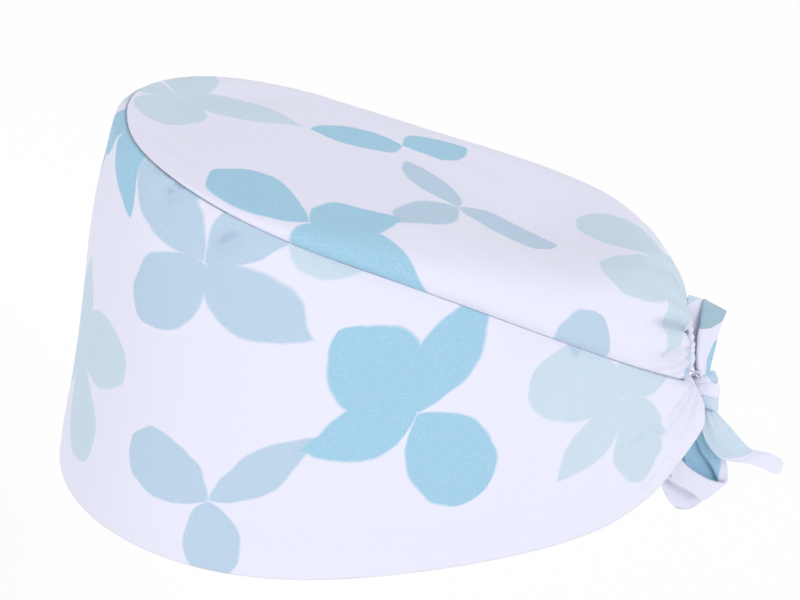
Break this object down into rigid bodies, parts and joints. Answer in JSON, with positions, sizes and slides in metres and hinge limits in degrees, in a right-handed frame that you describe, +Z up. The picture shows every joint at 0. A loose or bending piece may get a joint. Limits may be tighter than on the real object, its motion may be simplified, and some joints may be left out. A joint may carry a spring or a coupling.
{
  "type": "surgical scrub cap",
  "caption": "Tie-back surgical scrub cap in printed cotton: tall side band with a high front, sloping domed crown with a puckered rear end, and a tie knotted in a small bow.",
  "frame": {"origin": "centre of the hem opening, in the plane of the hem, where the head goes in", "axes": "+X to the wearer's left, -Y to the front of the cap, +Y to the tie at the back, +Z up"},
  "size_m": [0.171, 0.2764, 0.1815],
  "materials": {
    "printed_cotton": "matt plain weave with a pale blue print",
    "tie_cotton": "matt plain weave with a pale blue print"
  },
  "bodies": {
    "root": {"crown": "printed_cotton", "side_band": "printed_cotton", "rear_casing": "printed_cotton", "knot": "tie_cotton", "upper_loop": "tie_cotton", "lower_loop": "tie_cotton", "near_tail": "tie_cotton", "far_tail": "tie_cotton"}
  },
  "joints": []
}
